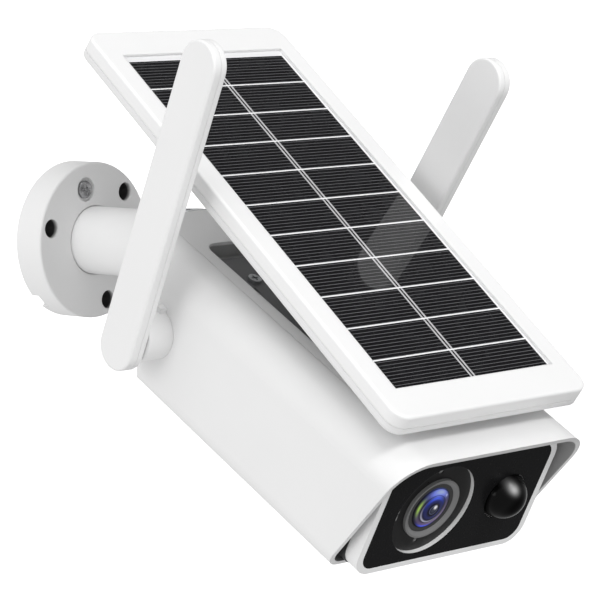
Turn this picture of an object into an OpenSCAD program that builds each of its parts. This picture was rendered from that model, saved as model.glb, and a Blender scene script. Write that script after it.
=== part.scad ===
// Solar-powered security camera on a round wall bracket, with a tilting solar
// panel over the housing and two flat swivelling antennas at its sides.
// Origin: centre of the wall plate's back face. -Y points out of the wall, +Z is up.

/* [Wall plate] */
// Radius of the round wall plate
plate_r = 28.9; // [26:0.1:36]
// Thickness of the wall plate
plate_t = 12.3; // [10:0.1:18]
// Thickness of the plate's front wall
plate_front = 4; // [3:0.5:5]
// Rounding of the plate's front edge
plate_edge = 0.8; // [0.3:0.1:1.5]
// Pitch circle diameter of the mounting holes
hole_pcd = 47.2; // [44:0.1:50]
// Radius of a mounting hole
hole_r = 2.25; // [1.5:0.05:2.6]
// Direction of the first mounting hole, from +X towards +Z
hole_start = 45.3; // [30:0.1:60]
// Direction of the lock screw, from +X towards +Z
lock_dir = 102.9; // [95:0.1:115]

/* [Arm] */
// Outer radius of the round arm
arm_r = 12.5; // [11:0.1:14]
// Wall thickness of the arm
arm_wall = 3; // [2:0.25:4]
// Distance from the wall plate's front face to the pan axis
arm_reach = 48; // [44:1:70]
// Distance from the pan axis to the tilt axis
knuckle_l = 20; // [20:0.5:26]
// Camera's pan at rest, about the vertical
rest_pan = -6.8; // [-20:0.1:20]
// Camera's downward tilt at rest
rest_tilt = 28.6; // [15:0.1:35]

/* [Housing] */
// Width of the outer shell
shell_w = 90; // [84:1:110]
// Height of the outer shell
shell_h = 51; // [49:0.5:60]
// Length of the outer shell along its underside
shell_l = 109.5; // [108:0.5:135]
// Wall thickness of the outer shell
shell_wall = 1.8; // [1.4:0.1:2.2]
// Radius of the shell's upper long edges
shell_top_r = 12.7; // [8:0.1:13]
// Radius of the shell's lower long edges
shell_low_r = 7; // [5:0.1:8]
// Forward lean of the hood's front edge, in degrees from vertical
hood_lean = 17.5; // [10:0.5:20]
// Backward lean of the rear face, in degrees from vertical
rear_lean = 25.7; // [20:0.1:28]
// Radius of the shell's rear edges
shell_rear_r = 8; // [5:0.5:9]

/* [Front] */
// Width of the black front glass
glass_w = 75; // [74:0.5:78]
// Height of the black front glass
glass_h = 40; // [38:0.5:40]
// Corner radius of the front glass
glass_r = 5.5; // [3:0.5:7]
// Thickness of the front glass
glass_t = 1.6; // [1.2:0.1:2]
// Radius of the lens opening in the glass
well_r = 17.5; // [16:0.1:18]
// Lens axis, sideways from the middle of the glass
lens_x = -12.1; // [-14:0.1:-11]
// Outer radius of the bright ring round the lens
ring_r = 11.5; // [10.5:0.1:12.5]
// Radius of the front lens element
lens_r = 8; // [7:0.1:8.6]
// Motion sensor axis, sideways from the middle of the glass
pir_x = 22.3; // [21:0.1:24]
// Outer radius of the motion sensor's dome
pir_r = 8.6; // [7.5:0.1:9.5]

/* [Solar panel] */
// Width of the panel frame
panel_w = 91.6; // [86:0.5:120]
// Length of the panel frame
panel_l = 192.4; // [170:0.5:232]
// Thickness of the panel, frame and back together
panel_t = 8.4; // [7.6:0.1:12]
// Corner radius of the panel frame
panel_r = 6; // [3:0.5:8]
// Width of the visible cell window
window_w = 75; // [70:0.5:80]
// Length of the visible cell window
window_l = 166.4; // [150:0.5:168]
// Rows of solar cells along the panel
cell_rows = 11; // [8:1:14]
// Panel's tilt at rest against the housing's top
panel_tilt = 9.8; // [6:0.1:12]

/* [Antennas] */
// Width of an antenna paddle
paddle_w = 17; // [14:0.5:20]
// Thickness of an antenna paddle
paddle_t = 5.7; // [5:0.1:8]
// Length of a paddle above its pivot
paddle_l = 110; // [80:1:132]
// Length of a paddle below its pivot
paddle_tail = 12; // [10.5:0.5:14]
// Radius of an antenna's hub
hub_r = 9.1; // [8:0.1:12]
// Length of an antenna's hub
hub_l = 10.9; // [8:0.1:14]
// Left antenna's backward lean at rest
left_lean = 4; // [-30:0.5:30]
// Right antenna's backward lean at rest
right_lean = -6.6; // [-30:0.1:30]

/* [Hidden] */
$fn = 96;

// Clearances: a turning fit, a parting line, and free air between moving bodies
fit = 0.05;
slack = 0.05;
seam = 0.15;
air = 0.3;
// How far a cutting tool runs past the face it cuts
over = 1;

// Wall plate
rim_wall = 2.5;
boss_r = 5.2;
sink_r = 3.4;
sink_d = 8;
washer_t = 0.8;
flange_t = 3;
flange_r = arm_r + 3.5;
well_back = plate_t - plate_front;
ring_y0 = -well_back + washer_t + flange_t + 2 * slack;
lock_r = flange_r + 3.5;
lock_head_r = 3.3;
lock_head_t = 1.8;
lock_dish_r = 4.4;
lock_dish_d = 1.2;
lock_shank_r = 1.7;
lock_tab_r = 3.4;
ring_t = 2.5;
notch_dir = 229;
notch_w = 7;
notch_d = 3.4;

// Knuckle between arm and camera, with the pan axis at its own origin
pan_y = -(plate_t + arm_reach);
tongue_r = 10;
tongue_t = 10;
neck_w = 13;
ear_t = 4.2;
arm_gap = 13;
plug_l = 9;
pan_bolt_r = 3;
head_r = 5.5;
head_t = 4;
barrel_r = 7.5;
barrel_w = 16;
tilt_bolt_r = 2.5;
cheek_t = 5;
cheek_gap = barrel_w / 2 + air;
bolt_x1 = cheek_gap + cheek_t + 4.6;

// Camera frame: x across, y rearwards, z up; its origin is the middle of the
// front glass's lower edge, and this is where the tilt axis lies in it
shell_drop = 3.5;
foot_y = 8.5;
shell_z0 = -shell_drop;
shell_z1 = shell_z0 + shell_h;
rear_foot_y = foot_y + shell_l;
tilt_z = shell_z1 - 12.4;
tilt_y = rear_foot_y + (tilt_z - shell_z0) * tan(rear_lean) - 2.7;
hood_top_y = foot_y - shell_h * tan(hood_lean);
rear_top_y = rear_foot_y + shell_h * tan(rear_lean);
in_w = shell_w / 2 - shell_wall;
in_z0 = shell_z0 + shell_wall;
in_z1 = shell_z1 - shell_wall;

// Top cover and the pocket for the panel's bracket
cover_t = 2;
cover_w = 2 * (shell_w / 2 - shell_top_r) - 0.2;
cover_y0 = 12;
ledge_w = 3;
pocket_r = 5;
pocket_rear = rear_foot_y + 4.3;
pocket_front = pocket_rear - 66;
pocket_half = cover_w / 2 - 5.4;
pocket_floor = shell_z1 - 6.5;
tub_wall = 1.5;

// Chassis: the sealed inner tub
side_gap = 3.2;
ch_w = in_w - side_gap;
ch_z0 = in_z0;
ch_z1 = pocket_floor - tub_wall - 1.5;
ch_wall = 2;
ch_y0 = 6;
ch_y1 = rear_foot_y - 10;
frame_low = 2.1;
frame_side = 2.6;
frame_depth = 6;
frame_w = glass_w + 2 * frame_side;
frame_z1 = glass_h + frame_low;
frame_r = glass_r + frame_low;
gasket_t = 0.5;
backing_y = glass_t + gasket_t;
backing_t = 1.8;
backing_y1 = backing_y + backing_t;
lens_z = glass_h / 2;
well_wall = 0.75;
glass_lip = 0.3;
collar_wall = 0.5;
plate_y = 1.8;
lens_plate_t = 1.4;
ring_y = 0.6;
ring_wall = 1.9;
led_y = 5;
led_t = 1.6;
barrel_out = ring_r - ring_wall;
board_y = 21;
board_t = 1.6;
led_r = 1;
mic_r = 0.35;
sensor_dir = 182;
pir_hole = pir_r + 0.35;

// Battery, boards and sockets inside the tub
cell_r = 9.15;
cell_l = 65;
cell_y0 = 27;
cell_pitch = 19.6;
main_z = ch_z1 - ch_wall - 6;
bay_y0 = ch_y1 - 14;
bay_x0 = 4;
bay_w = 32;
bay_d = 12;
button_r = 2.2;
screw_x = ch_w - 5.5;
screw_y0 = 17;
screw_y1 = ch_y1 - 22;
hub_y = rear_foot_y - 5.5;
hub_z = 19.5;
neck_r = 5;
nut_t = 2.5;
spigot_r = 4;

// Panel: its own frame has z = 0 at the cells, x across and y rearwards
panel_y = 96.2;
panel_z = 75.7;
lip = 0.9;
panel_low = lip - panel_t;
seam_z = lip - panel_t * 0.6;
panel_edge = 1;
screw_sink = 1.5;
screw_top = -1.5;
frame_side_wall = 2;
glass_side = 3.5;
lam_top = -0.1;
lam_t = 0.6;
sheet_t = 0.3;
board_low = 1.5;
hinge_y = 82;
hinge_z = shell_z1 + 9.5;
hinge_r = 5;
hinge_w = 18;
lug_t = 4;
hinge_pin_r = 2;
back_wall = 1.6;

// Antennas
hub_x = shell_w / 2;
paddle_x = hub_x + hub_l + air;
case_t = 2.6;
paddle_wall = 1.2;
paddle_edge = 0.8;

// ---------- placement ----------
module yoke_place() {
    translate([0, pan_y, 0]) rotate([0, 0, rest_pan]) children();
}
module camera_place() {
    yoke_place() translate([0, -knuckle_l, 0]) rotate([rest_tilt, 0, 0])
        translate([0, -tilt_y, -tilt_z]) children();
}
module panel_place() {
    camera_place() translate([0, panel_y, panel_z]) rotate([panel_tilt, 0, 0]) children();
}
module antenna_place(side) {
    lean = side < 0 ? left_lean : right_lean;
    camera_place() translate([0, hub_y, hub_z]) rotate([-lean, 0, 0])
        mirror([side < 0 ? 1 : 0, 0, 0]) children();
}

// ---------- shared shapes ----------
// A rod from y0 to y1 at (x, z)
module rod_y(x, z, y0, y1, r) {
    translate([x, y0, z]) rotate([-90, 0, 0]) cylinder(h = y1 - y0, r = r);
}
// A rod from x0 to x1 at (y, z)
module rod_x(y, z, x0, x1, r) {
    translate([x0, y, z]) rotate([0, 90, 0]) cylinder(h = x1 - x0, r = r);
}
// A rod from z0 to z1 at (x, y)
module rod_z(x, y, z0, z1, r) {
    translate([x, y, z0]) cylinder(h = z1 - z0, r = r);
}
// A box given by its two corners
module block(low, high) {
    translate(low) cube(high - low);
}
// A rectangle with its own radius on the two low and the two high corners
module round_rect(x0, z0, x1, z1, low_r, high_r) {
    translate([x0 + low_r, z0]) square([x1 - x0 - 2 * low_r, low_r + 0.01]);
    translate([x0 + high_r, z1 - high_r - 0.01]) square([x1 - x0 - 2 * high_r, high_r + 0.01]);
    translate([x0, z0 + low_r]) square([x1 - x0, z1 - z0 - low_r - high_r]);
    for (x = [x0 + low_r, x1 - low_r]) translate([x, z0 + low_r]) circle(r = low_r);
    for (x = [x0 + high_r, x1 - high_r]) translate([x, z1 - high_r]) circle(r = high_r);
}
// An outline in the x-z plane, pushed along y from y0 to y1
module push_y(y0, y1) {
    translate([0, y1, 0]) rotate([90, 0, 0]) linear_extrude(y1 - y0) children();
}
// An outline in the y-z plane, pushed along x from x0 to x1
module push_x(x0, x1) {
    translate([x0, 0, 0]) rotate([90, 0, 90]) linear_extrude(x1 - x0) children();
}
// A stadium outline from one end centre to the other
module slot_2d(a, b, r) {
    d = b - a;
    n = [-d[1], d[0]] / norm(d) * r;
    translate(a) circle(r = r);
    translate(b) circle(r = r);
    polygon([a + n, a - n, b - n, b + n]);
}
// A rectangle against the axis, x from 0 to w, with its two outer corners rounded
module edge_2d(w, z0, z1, r0, r1) {
    translate([0, z0]) square([w - r0, r0 + 0.01]);
    translate([0, z1 - r1 - 0.01]) square([w - r1, r1 + 0.01]);
    translate([0, z0 + r0]) square([w, z1 - z0 - r0 - r1]);
    translate([w - r0, z0 + r0]) circle(r = r0);
    translate([w - r1, z1 - r1]) circle(r = r1);
}
// A plate with rounded corners (r) whose rims are rounded too: r0 below and r1 above
module soft_plate(w, l, r, z0, z1, r0, r1) {
    for (x = [-1, 1], y = [-1, 1]) translate([x * (w / 2 - r), y * (l / 2 - r), 0])
        rotate_extrude() intersection() {
            edge_2d(r, z0, z1, r0, r1);
            translate([0, z0 - over]) square([r + over, z1 - z0 + 2 * over]);
        }
    for (m = [0, 1]) {
        mirror([m, 0, 0]) push_y(-l / 2 + r, l / 2 - r) edge_2d(w / 2, z0, z1, r0, r1);
        mirror([0, m, 0]) push_x(-w / 2 + r, w / 2 - r) edge_2d(l / 2, z0, z1, r0, r1);
    }
}
// A pan-head screw on the y axis: head towards -y, shank towards +y
module pan_screw_y(r_head, t_head, r_shank, l_shank, slot = true) {
    difference() {
        union() {
            rod_y(0, 0, -t_head, 0, r_head);
            rod_y(0, 0, -0.01, l_shank, r_shank);
        }
        if (slot) {
            block([-r_head * 0.6, -t_head - over, -0.4], [r_head * 0.6, -t_head * 0.4, 0.4]);
            block([-0.4, -t_head - over, -r_head * 0.6], [0.4, -t_head * 0.4, r_head * 0.6]);
        }
    }
}
function polar(r, a) = [r * cos(a), r * sin(a)];
function hole_dir(i) = hole_start + 120 * i;
// Depth of the hood's raked front plane and of the raked rear face at height z
function hood_y(z) = foot_y - (z - shell_z0) * tan(hood_lean);
function rear_y(z) = rear_foot_y + (z - shell_z0) * tan(rear_lean);

// ---------- wall plate and arm ----------
module wall_plate() {
    color("white") difference() {
        rotate([90, 0, 0]) rotate_extrude() intersection() {
            edge_2d(plate_r, 0, plate_t, 0.3, plate_edge);
            square([plate_r + over, plate_t + over]);
        }
        rod_y(0, 0, -plate_t - over, over, arm_r + fit);
        translate([0, -plate_t - 0.01, 0]) rotate([-90, 0, 0])
            cylinder(h = 0.9, r1 = arm_r + 0.5, r2 = arm_r);
        rod_y(0, 0, -well_back, over, flange_r + 1);
        // room for the ring's clamping tab, and the groove that saves plastic
        rod_y(polar(lock_r, lock_dir)[0], polar(lock_r, lock_dir)[1], ring_y0, over, lock_tab_r + 0.3);
        rotate([0, -lock_dir, 0])
            block([0, ring_y0, -lock_tab_r - 0.3], [lock_r, over, lock_tab_r + 0.3]);
        difference() {
            rod_y(0, 0, -well_back, over, plate_r - rim_wall);
            rod_y(0, 0, -plate_t, over * 2, flange_r + 3);
            for (i = [0 : 2]) rod_y(polar(hole_pcd / 2, hole_dir(i))[0],
                polar(hole_pcd / 2, hole_dir(i))[1], -plate_t, over * 2, boss_r);
            rod_y(polar(lock_r, lock_dir)[0], polar(lock_r, lock_dir)[1],
                -plate_t, over * 2, lock_tab_r + 2.4);
        }
        for (i = [0 : 2]) {
            p = polar(hole_pcd / 2, hole_dir(i));
            rod_y(p[0], p[1], -plate_t - over, over, hole_r);
            rod_y(p[0], p[1], -plate_t - over, -plate_t + sink_d, sink_r);
        }
        l = polar(lock_r, lock_dir);
        rod_y(l[0], l[1], -plate_t - over, over, lock_shank_r + 0.1);
        rod_y(l[0], l[1], -plate_t - over, -plate_t + lock_dish_d, lock_dish_r);
        rotate([0, -notch_dir, 0])
            block([plate_r - rim_wall - over, -notch_d, -notch_w / 2],
                [plate_r + over, over, notch_w / 2]);
    }
}
module retainer_ring() {
    l = polar(lock_r, lock_dir);
    color("white") push_y(ring_y0, ring_y0 + ring_t) difference() {
        union() {
            circle(r = flange_r + 1);
            slot_2d([0, 0], l, lock_tab_r);
        }
        circle(r = arm_r - arm_wall);
        translate(l) circle(r = lock_shank_r);
    }
}
module lock_screw() {
    l = polar(lock_r, lock_dir);
    head_y = -plate_t + lock_dish_d;
    color("silver") translate([l[0], head_y, l[1]])
        pan_screw_y(lock_head_r, lock_head_t, lock_shank_r,
            ring_y0 + ring_t - head_y);
}
module arm_washer() {
    color("dimgray") difference() {
        rod_y(0, 0, -well_back + slack, -well_back + slack + washer_t, flange_r);
        rod_y(0, 0, -well_back - over, over, arm_r);
    }
}
module arm_tube() {
    y1 = -well_back + slack + washer_t;
    color("white") difference() {
        union() {
            rotate([90, 0, 0]) rotate_extrude() intersection() {
                edge_2d(arm_r, -y1 - flange_t, -pan_y - arm_gap, 0.2, 1);
                translate([0, -y1 - flange_t - over]) square([arm_r + over, arm_reach * 2]);
            }
            rod_y(0, 0, y1, y1 + flange_t, flange_r);
        }
        rod_y(0, 0, pan_y + arm_gap - over, over, arm_r - arm_wall);
    }
}
module arm_knuckle() {
    y_end = pan_y + arm_gap;
    color("white") difference() {
        union() {
            rod_y(0, 0, y_end, y_end + plug_l, arm_r - arm_wall);
            translate([0, pan_y, 0]) rod_z(0, 0, -tongue_t / 2, tongue_t / 2, tongue_r);
            block([-neck_w / 2, pan_y, -tongue_t / 2], [neck_w / 2, y_end + over, tongue_t / 2]);
        }
        translate([0, pan_y, 0]) rod_z(0, 0, -tongue_t, tongue_t, pan_bolt_r + fit);
    }
}
module pan_yoke() {
    ear_z = tongue_t / 2 + air;
    web_y = tongue_r + 0.5;
    color("white") yoke_place() difference() {
        union() {
            for (z = [-ear_z - ear_t, ear_z]) {
                rod_z(0, 0, z, z + ear_t, tongue_r);
                block([-barrel_w / 2, -knuckle_l + barrel_r - 2, z], [barrel_w / 2, 0, z + ear_t]);
            }
            block([-barrel_w / 2, -knuckle_l, -barrel_r + 0.5], [barrel_w / 2, -web_y, barrel_r - 0.5]);
            rod_x(-knuckle_l, 0, -barrel_w / 2, barrel_w / 2, barrel_r);
        }
        rod_z(0, 0, -tongue_t * 2, tongue_t * 2, pan_bolt_r);
        rod_x(-knuckle_l, 0, -barrel_w, barrel_w, tilt_bolt_r + fit);
    }
}
module pan_bolt() {
    top = tongue_t / 2 + air + ear_t;
    color("silver") yoke_place() difference() {
        union() {
            rod_z(0, 0, top, top + head_t, head_r);
            rod_z(0, 0, -top - head_t - 1.5, top + 0.01, pan_bolt_r);
        }
        translate([0, 0, top + head_t - 2.5]) cylinder(h = 4, r = 2.9, $fn = 6);
    }
}
module pan_nut() {
    top = tongue_t / 2 + air + ear_t;
    color("silver") yoke_place() difference() {
        translate([0, 0, -top - head_t]) cylinder(h = head_t, r = head_r, $fn = 6);
        rod_z(0, 0, -top - head_t - over, 0, pan_bolt_r);
    }
}

// ---------- outer shell ----------
module shell_section(inset) {
    round_rect(-shell_w / 2 + inset, shell_z0 + inset, shell_w / 2 - inset, shell_z1 - inset,
        shell_low_r - inset, shell_top_r - inset);
}
// The side view: a raked hood in front, a raked face behind, its low corner rounded
module shell_side(front_cut, inset) {
    low = shell_z0 + inset;
    high = shell_z1 + over;
    mid_z = shell_z0 + shell_rear_r;
    mid_y = rear_y(mid_z) - shell_rear_r / cos(rear_lean);
    r = shell_rear_r - inset;
    polygon([
        [hood_y(low) - front_cut, low], [mid_y, low],
        [mid_y + r * cos(rear_lean), mid_z - r * sin(rear_lean)],
        [rear_y(high) - inset / cos(rear_lean), high], [hood_y(high) - front_cut, high]
    ]);
    translate([mid_y, mid_z]) circle(r = r);
}
// The plan of the rear end, with both corners rounded, seen along the rear face
module rear_plan(inset) {
    half = shell_w / 2;
    r = shell_rear_r;
    translate([-half + inset, -2 * shell_l]) square([2 * half - 2 * inset, 2 * shell_l - r]);
    translate([-half + r, -r - over]) square([2 * half - 2 * r, r + over - inset]);
    for (x = [-half + r, half - r]) translate([x, -r]) circle(r = r - inset);
}
module shell_form(front_cut, inset) {
    intersection() {
        push_y(hood_top_y - over - front_cut, rear_top_y + over) shell_section(inset);
        push_x(-shell_w, shell_w) shell_side(front_cut, inset);
        translate([0, rear_foot_y, shell_z0]) rotate([-rear_lean, 0, 0])
            translate([0, 0, -shell_l]) linear_extrude(3 * shell_l) rear_plan(inset);
    }
}
module pocket_2d(grow) {
    round_rect(-pocket_half - grow, pocket_front - grow, pocket_half + grow, pocket_rear + grow,
        pocket_r + grow, pocket_r + grow);
}
module outer_shell() {
    color("white") camera_place() difference() {
        union() {
            difference() {
                shell_form(0, 0);
                shell_form(over * 4, shell_wall);
            }
            // ledge that carries the top cover
            intersection() {
                block([-cover_w / 2 - ledge_w, cover_y0 - ledge_w, in_z1 - 1.4],
                    [cover_w / 2 + ledge_w, rear_top_y, shell_z1 - cover_t]);
                shell_form(0, 0);
            }
        }
        block([-cover_w / 2 - seam, cover_y0 - seam, shell_z1 - cover_t],
            [cover_w / 2 + seam, rear_top_y + over, shell_z1 + over]);
        block([-cover_w / 2 + ledge_w, cover_y0 + ledge_w, in_z1 - 3],
            [cover_w / 2 - ledge_w, rear_y(in_z1) - ledge_w * 2, shell_z1 + over]);
        // opening for the knuckle in the rear face
        block([-bolt_x1 - 1.5, tilt_y - 12, tilt_z - 12.5],
            [bolt_x1 + 1.5, rear_top_y + over, tilt_z + 9]);
        // antenna necks, port flap and the heads of the chassis screws
        rod_x(hub_y, hub_z, -shell_w, shell_w, neck_r);
        block([bay_x0, bay_y0, shell_z0 - over], [bay_x0 + bay_w, bay_y0 + bay_d, in_z0 + over]);
        for (x = [-screw_x, screw_x], y = [screw_y0, screw_y1]) {
            rod_z(x, y, shell_z0 - over, shell_z0 + 1.2, 3);
            rod_z(x, y, shell_z0 - over, in_z0 + over, 1.6);
        }
    }
}
module top_cover() {
    tub = pocket_floor - tub_wall;
    color("whitesmoke") camera_place() difference() {
        union() {
            intersection() {
                block([-cover_w / 2, cover_y0, shell_z1 - cover_t],
                    [cover_w / 2, rear_top_y + over, shell_z1]);
                shell_form(0, 0);
            }
            translate([0, 0, tub]) linear_extrude(shell_z1 - cover_t - tub + 0.5)
                pocket_2d(tub_wall);
        }
        translate([0, 0, pocket_floor]) linear_extrude(shell_z1) pocket_2d(0);
        for (x = foot_x, y = foot_holes) rod_z(x, y, tub - over, pocket_floor + over, 1.3);
    }
}
foot_y0 = hinge_y - 18;
foot_y1 = hinge_y + 36;
foot_t = 2.5;
foot_half = 24;
foot_x = [-17, 17];
foot_holes = [foot_y0 + 5, foot_y1 - 14.5];

module rear_bracket() {
    x1 = cheek_gap + cheek_t;
    color("whitesmoke") camera_place() difference() {
        union() {
            block([-26, ch_y1, 8], [26, ch_y1 + 3, ch_z1 - 2]);
            for (x = [-x1, cheek_gap]) {
                push_x(x, x + cheek_t) {
                    polygon([
                        [ch_y1 + 2.9, tilt_z - 20], [ch_y1 + 2.9, ch_z1 - 2],
                        [tilt_y - 7.6, tilt_z + 3.4], [tilt_y, tilt_z],
                        [tilt_y + 2, tilt_z - barrel_r + 1], [tilt_y - 9, tilt_z - 12]
                    ]);
                    translate([tilt_y, tilt_z]) circle(r = barrel_r);
                }
            }
        }
        rod_x(tilt_y, tilt_z, -shell_w, shell_w, tilt_bolt_r);
        for (x = [-21, 21], z = [13, 29]) rod_y(x, z, ch_y1 - over, ch_y1 + 5, 1.5);
    }
}
module rear_bracket_screws() {
    color("silver") camera_place() for (x = [-21, 21], z = [13, 29])
        translate([x, ch_y1 + 3, z]) rotate([180, 0, 0]) pan_screw_y(2.8, 1.6, 1.5, 3 + ch_wall);
}
module tilt_bolt() {
    x1 = cheek_gap + cheek_t;
    color("silver") camera_place() {
        rod_x(tilt_y, tilt_z, -bolt_x1, x1 + 0.01, tilt_bolt_r);
        difference() {
            rod_x(tilt_y, tilt_z, x1, x1 + 2.6, 4.4);
            translate([x1 + 1.2, tilt_y, tilt_z]) rotate([0, 90, 0]) cylinder(h = 3, r = 2.3, $fn = 6);
        }
    }
}
module tilt_nut() {
    x1 = cheek_gap + cheek_t;
    color("silver") camera_place() difference() {
        translate([-x1 - 3.6, tilt_y, tilt_z]) rotate([0, 90, 0]) cylinder(h = 3.6, r = 4.6, $fn = 6);
        rod_x(tilt_y, tilt_z, -x1 - 5, 0, tilt_bolt_r);
    }
}

// ---------- chassis and the front ----------
module chassis() {
    color("whitesmoke") camera_place() difference() {
        union() {
            push_y(ch_y0 + 3, ch_y1) round_rect(-ch_w, ch_z0, ch_w, ch_z1, 5, 5);
            push_y(ch_y0, ch_y0 + 3.01) round_rect(-frame_w / 2, ch_z0, frame_w / 2, frame_z1, 6, frame_r);
            // rails that centre the tub in the outer shell
            for (x = [-in_w, ch_w - 0.5])
                block([x, 20, 18], [x + side_gap + 0.5, ch_y1 - 8, 21]);
        }
        difference() {
            push_y(ch_y0 + 1.5, ch_y1 - ch_wall)
                round_rect(-ch_w + ch_wall, ch_z0 + ch_wall, ch_w - ch_wall, ch_z1 - ch_wall, 3, 3);
            for (x = [-screw_x, screw_x], y = [screw_y0, screw_y1])
                rod_z(x, y, ch_z0, ch_z0 + 9, 3.2);
            // ledges that carry the main board
            for (x = [-ch_w, ch_w - ch_wall - 3])
                block([x, 34, main_z - 3], [x + ch_wall + 3, ch_y1, main_z]);
        }
        push_y(ch_y0 - over, ch_y0 + 2)
            round_rect(-glass_w / 2 + 2, 1.5, glass_w / 2 - 2, ch_z1 + 0.5, 4, 4);
        for (x = [-screw_x, screw_x], y = [screw_y0, screw_y1])
            rod_z(x, y, ch_z0 - over, ch_z0 + 8, 1.5);
        for (x = [-21, 21], z = [13, 29]) rod_y(x, z, ch_y1 - 3, ch_y1 + over, 1.5);
        block([usb_x - 4.5, bay_mid - 1.7, ch_z0 - over], [usb_x + 4.5, bay_mid + 1.7, ch_z0 + 3]);
        block([card_x - 6.5, bay_mid - 1, ch_z0 - over], [card_x + 6.5, bay_mid + 1.7, ch_z0 + 3]);
        rod_z(button_x, bay_mid, ch_z0 - over, ch_z0 + 3, button_r + fit);
        rod_z(speaker_x, speaker_y, ch_z0 - over, ch_z0 + 3, 1.2);
        for (a = [0 : 60 : 300])
            rod_z(speaker_x + 4 * cos(a), speaker_y + 4 * sin(a), ch_z0 - over, ch_z0 + 3, 0.9);
    }
}
bay_mid = bay_y0 + bay_d / 2;
usb_x = bay_x0 + 6.5;
card_x = bay_x0 + 18;
button_x = bay_x0 + 28;
speaker_x = 21;
speaker_y = 17.5;

module chassis_screws() {
    color("silver") camera_place() for (x = [-screw_x, screw_x], y = [screw_y0, screw_y1])
        translate([x, y, shell_z0 + 1.2]) rotate([90, 0, 0]) pan_screw_y(2.8, 1.1, 1.5, 8);
}
module antenna_sockets() {
    color("white") camera_place() for (side = [0, 1]) mirror([side, 0, 0]) difference() {
        union() {
            rod_x(hub_y, hub_z, hub_x, hub_x + hub_l, hub_r);
            rod_x(hub_y, hub_z, ch_w, hub_x + 0.01, neck_r);
            block([hub_x, hub_y - 1.4, hub_z + hub_r - 1], [hub_x + 3, hub_y + 1.4, hub_z + hub_r + 1.6]);
        }
        rod_x(hub_y, hub_z, hub_x + 1.5, hub_x + hub_l + over, spigot_r + fit);
        rod_x(hub_y, hub_z, ch_w - over * 2, hub_x + 2, 1.6);
    }
}
module socket_nuts() {
    color("silver") camera_place() for (side = [0, 1]) mirror([side, 0, 0]) difference() {
        translate([in_w - nut_t, hub_y, hub_z]) rotate([0, 90, 0]) cylinder(h = nut_t, r = 7, $fn = 6);
        rod_x(hub_y, hub_z, ch_w - 2, in_w + over, neck_r);
    }
}
module glass_outline(grow) {
    round_rect(-glass_w / 2 - grow, -grow, glass_w / 2 + grow, glass_h + grow,
        glass_r + grow, glass_r + grow);
}
module front_frame() {
    color("white") camera_place() difference() {
        push_y(0, frame_depth) round_rect(-frame_w / 2, -frame_low, frame_w / 2, frame_z1, frame_r, frame_r);
        push_y(-over, backing_y) glass_outline(0);
        push_y(backing_y1, frame_depth + over)
            round_rect(-glass_w / 2, 1.5, glass_w / 2, glass_h - 1, glass_r, glass_r);
        rod_y(lens_x, lens_z, 0, backing_y1 + over, well_r + well_wall);
        rod_y(pir_x, lens_z, 0, backing_y1 + over, pir_r + 0.1);
    }
    // the collar that lines the motion sensor's opening
    color("white") camera_place() difference() {
        rod_y(pir_x, lens_z, glass_lip, backing_y + 0.01, pir_hole + collar_wall);
        rod_y(pir_x, lens_z, 0, backing_y + over, pir_hole);
    }
}
module front_gasket() {
    color("dimgray") camera_place() difference() {
        push_y(glass_t, backing_y) glass_outline(0);
        push_y(0, backing_y + over) glass_outline(-1.6);
    }
}
module front_glass() {
    color("black") camera_place() difference() {
        push_y(0, glass_t) glass_outline(0);
        // each opening has a rebate behind it for the bright sleeve that lines it
        rod_y(lens_x, lens_z, -over, glass_t + over, well_r);
        rod_y(lens_x, lens_z, glass_lip, glass_t + over, well_r + well_wall);
        rod_y(pir_x, lens_z, -over, glass_t + over, pir_hole);
        rod_y(pir_x, lens_z, glass_lip, glass_t + over, pir_hole + collar_wall);
    }
}
module lens_well() {
    color("silver") camera_place() difference() {
        rod_y(lens_x, lens_z, glass_lip, backing_y1, well_r + well_wall);
        rod_y(lens_x, lens_z, 0, backing_y1 + over, well_r);
    }
}
module lens_plate() {
    y1 = plate_y + lens_plate_t;
    color("#222222") camera_place() difference() {
        rod_y(lens_x, lens_z, plate_y, y1, well_r);
        rod_y(lens_x, lens_z, 0, y1 + over, ring_r);
        for (spot = led_spots) spot_at(spot) rod_y(0, 0, 0, y1 + over, led_r);
        spot_at(mic_spot) rod_y(0, 0, 0, y1 + over, mic_r);
        push_y(0, y1 + over) sensor_2d(0);
    }
}
// Spots round the lens axis: how far out, and in which direction
led_spots = [[ring_r + 3.4, 97], [ring_r + 1.7, 267]];
mic_spot = [ring_r + 1.2, 120];
module spot_at(spot) {
    p = polar(spot[0], spot[1]);
    translate([lens_x + p[0], 0, lens_z + p[1]]) children();
}
module sensor_2d(inset) {
    translate([lens_x, lens_z])
        slot_2d(polar(ring_r + 3.9, sensor_dir - 8), polar(ring_r + 3.9, sensor_dir + 8), led_r - inset);
}
module lens_ring() {
    color("gray") camera_place() difference() {
        rod_y(lens_x, lens_z, ring_y, led_y, ring_r);
        rod_y(lens_x, lens_z, ring_y - over, led_y + over, barrel_out);
        translate([lens_x, ring_y - 0.01, lens_z]) rotate([-90, 0, 0])
            cylinder(h = 1, r1 = ring_r - 0.6, r2 = barrel_out - 0.2);
    }
}
module lens_barrel() {
    color("#111111") camera_place() difference() {
        union() {
            rod_y(lens_x, lens_z, ring_y + 1, board_y, barrel_out);
            rod_y(lens_x, lens_z, board_y - 2.5, board_y, barrel_out + 4);
        }
        rod_y(lens_x, lens_z, 4.5, board_y + over, 6.5);
        rod_y(lens_x, lens_z, board_y - 4, board_y + over, 7.4);
        translate([lens_x, ring_y, lens_z]) rotate([-90, 0, 0])
            cylinder(h = 0.9, r1 = barrel_out - 0.2, r2 = lens_r);
        rod_y(lens_x, lens_z, ring_y + 0.8, 5.5, lens_r);
    }
}
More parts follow.
